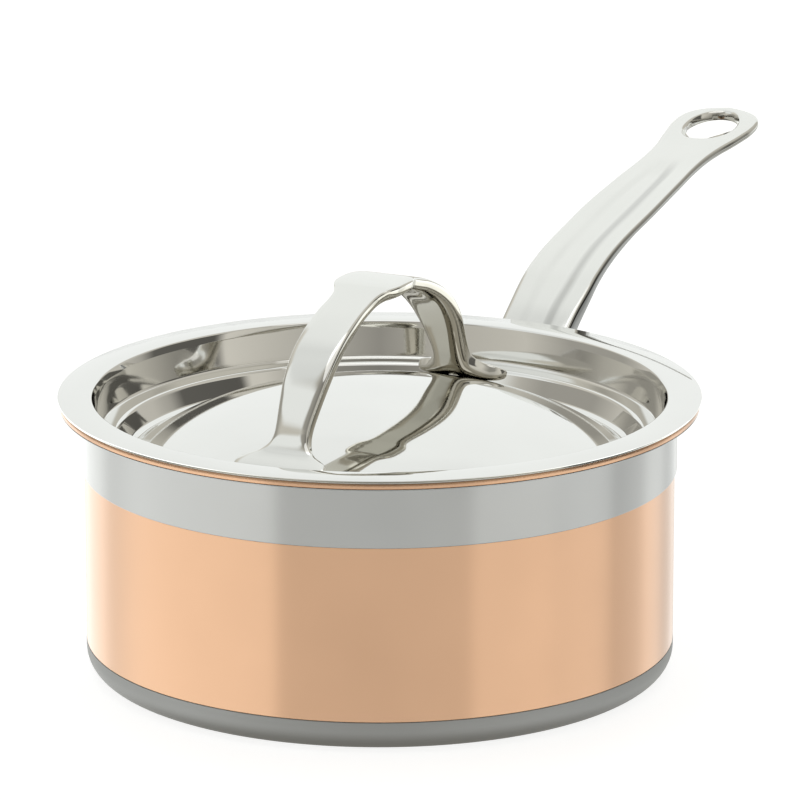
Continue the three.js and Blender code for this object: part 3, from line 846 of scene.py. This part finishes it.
class SAUCEPAN_OT_stage(bpy.types.Operator):
    """Adds the floor, the room's soft light and the camera"""

    bl_idname = "saucepan.stage"
    bl_label = "Stage"

    def execute(self, context):
        studio = context.scene.pan_studio
        self.add_floor(studio)
        self.add_room(studio)
        self.add_lamp()
        self.add_camera(studio)
        context.scene.view_settings.view_transform = "Standard"
        return {"FINISHED"}

    def add_floor(self, studio):
        bm = bmesh.new()
        bmesh.ops.create_circle(bm, cap_ends=True, segments=64, radius=FLOOR_RADIUS)
        bmesh.ops.translate(bm, verts=bm.verts, vec=(0, 0, -FLOOR_DROP))
        mesh = bpy.data.meshes.new("floor")
        bm.to_mesh(mesh)
        bm.free()
        nodes = Nodes("pale_floor")
        grain = nodes.noise(nodes.place((1, 1, 1)), 900, 3)
        nodes.wire("Base Color", nodes.blend(grain, shaded(studio.floor, 0.99), studio.floor))
        nodes.wire("Roughness", 0.9)
        nodes.wire("Emission Color", (1.0, 1.0, 1.0, 1.0))
        nodes.wire("Emission Strength", studio.floor_glow)
        mesh.materials.append(nodes.material)
        floor = bpy.data.objects.new("floor", mesh)
        floor.visible_glossy = False
        bpy.context.scene.collection.objects.link(floor)

    def add_room(self, studio):
        """Light by direction: rings of bright panels and dark gaps, one above another."""
        world = bpy.data.worlds.new("studio")
        bpy.context.scene.world = world
        world.use_nodes = True
        tree = world.node_tree
        tree.nodes.clear()

        def add(kind, **settings):
            node = tree.nodes.new(kind)
            for key, value in settings.items():
                setattr(node, key, value)
            return node

        def link(output, target):
            tree.links.new(output, target)

        way = add("ShaderNodeTexCoord")
        turned = add("ShaderNodeVectorRotate", rotation_type="Z_AXIS")
        turned.inputs["Angle"].default_value = -studio.heading
        link(way.outputs["Generated"], turned.inputs["Vector"])
        parts = add("ShaderNodeSeparateXYZ")
        link(turned.outputs[0], parts.inputs[0])
        front = add("ShaderNodeMath", operation="MULTIPLY")
        front.inputs[1].default_value = -1
        link(parts.outputs["Y"], front.inputs[0])
        angle = add("ShaderNodeMath", operation="ARCTAN2")
        link(parts.outputs["X"], angle.inputs[0])
        link(front.outputs[0], angle.inputs[1])
        part = add("ShaderNodeMapRange")
        part.inputs["From Min"].default_value = -pi
        part.inputs["From Max"].default_value = pi
        link(angle.outputs[0], part.inputs["Value"])

        def ring(table):
            """One ring of light, from its table of degrees and brightness."""
            ramp = add("ShaderNodeValToRGB")
            stops = ramp.color_ramp.elements
            while len(stops) < len(table):
                stops.new(0.5)
            for stop, (degrees, bright) in zip(stops, table):
                stop.position = (degrees + 180) / 360
                tint = WARM if bright < DIM else COOL
                stop.color = (*(bright / ROOM_PEAK * hue for hue in tint), 1)
            link(part.outputs[0], ramp.inputs[0])
            return ramp.outputs["Color"]

        def layer(limits, lower, upper):
            """The lower light, giving way to the upper one between two heights."""
            above = add("ShaderNodeMapRange", interpolation_type="SMOOTHSTEP")
            above.inputs["From Min"].default_value, above.inputs["From Max"].default_value = limits
            link(parts.outputs["Z"], above.inputs["Value"])
            mix = add("ShaderNodeMix", data_type="RGBA")
            link(above.outputs[0], mix.inputs["Factor"])
            link(lower, mix.inputs["A"])
            link(upper, mix.inputs["B"])
            return next(o for o in mix.outputs if o.type == "RGBA")

        light = layer(GROUND_TOP, ring([(-180, GROUND), (180, GROUND)]), ring(SWEEP))
        light = layer(WALLS_LOW, light, ring(WALLS))
        light = layer(UPPER_LOW, light, ring(UPPER))
        light = layer(CEILING_LOW, light, ring(CEILING))
        room = add("ShaderNodeBackground")
        room.inputs["Strength"].default_value = ROOM_PEAK
        link(light, room.inputs["Color"])
        backdrop = add("ShaderNodeBackground")
        backdrop.inputs["Color"].default_value = (1, 1, 1, 1)
        backdrop.inputs["Strength"].default_value = BACKDROP
        path = add("ShaderNodeLightPath")
        shown = add("ShaderNodeMixShader")
        link(path.outputs["Is Camera Ray"], shown.inputs[0])
        link(room.outputs[0], shown.inputs[1])
        link(backdrop.outputs[0], shown.inputs[2])
        output = add("ShaderNodeOutputWorld")
        link(shown.outputs[0], output.inputs["Surface"])

    def add_lamp(self):
        lamp = bpy.data.lights.new("overhead", "AREA")
        lamp.shape = "DISK"
        lamp.size = LAMP_SIZE
        lamp.energy = LAMP_POWER
        overhead = bpy.data.objects.new("overhead", lamp)
        overhead.location = LAMP_PLACE
        overhead.rotation_euler = Vector(LAMP_PLACE).to_track_quat("Z", "Y").to_euler()
        bpy.context.scene.collection.objects.link(overhead)

    def add_camera(self, studio):
        data = bpy.data.cameras.new("camera")
        data.lens = CAMERA["lens"]
        data.sensor_width = 36
        data.clip_end = 30
        camera = bpy.data.objects.new("camera", data)
        bpy.context.scene.collection.objects.link(camera)
        turn = studio.heading
        reach, height = CAMERA["reach"], CAMERA["height"]
        camera.location = Vector((sin(turn) * reach, -cos(turn) * reach, height)) * MM
        camera.rotation_euler = (radians(CAMERA["pitch"]), 0, turn + radians(CAMERA["yaw"]))
        bpy.context.scene.camera = camera


OPERATORS = [
    SAUCEPAN_OT_wall,
    SAUCEPAN_OT_handle,
    SAUCEPAN_OT_handle_rivets,
    SAUCEPAN_OT_lid,
    SAUCEPAN_OT_lid_handle,
    SAUCEPAN_OT_lid_rivets,
    SAUCEPAN_OT_stage,
]


class SAUCEPAN_PT_pieces(bpy.types.Panel):
    """Lists the pieces and their sizes"""

    bl_label = "Saucepan"
    bl_space_type = "VIEW_3D"
    bl_region_type = "UI"
    bl_category = "Saucepan"

    def draw(self, context):
        for operator in OPERATORS:
            self.layout.operator(operator.bl_idname)
        for name, kind in GROUPS.items():
            box = self.layout.box()
            for field in kind.__annotations__:
                box.prop(getattr(context.scene, name), field)


def register():
    for kind in (*GROUPS.values(), *OPERATORS, SAUCEPAN_PT_pieces):
        bpy.utils.register_class(kind)
    for name, kind in GROUPS.items():
        setattr(bpy.types.Scene, name, bpy.props.PointerProperty(type=kind))


def unregister():
    for name in GROUPS:
        delattr(bpy.types.Scene, name)
    for kind in (SAUCEPAN_PT_pieces, *reversed(OPERATORS), *reversed(GROUPS.values())):
        bpy.utils.unregister_class(kind)


def main():
    register()
    for operator in OPERATORS:
        family, action = operator.bl_idname.split(".")
        getattr(getattr(bpy.ops, family), action)()


if __name__ == "__main__":
    main()
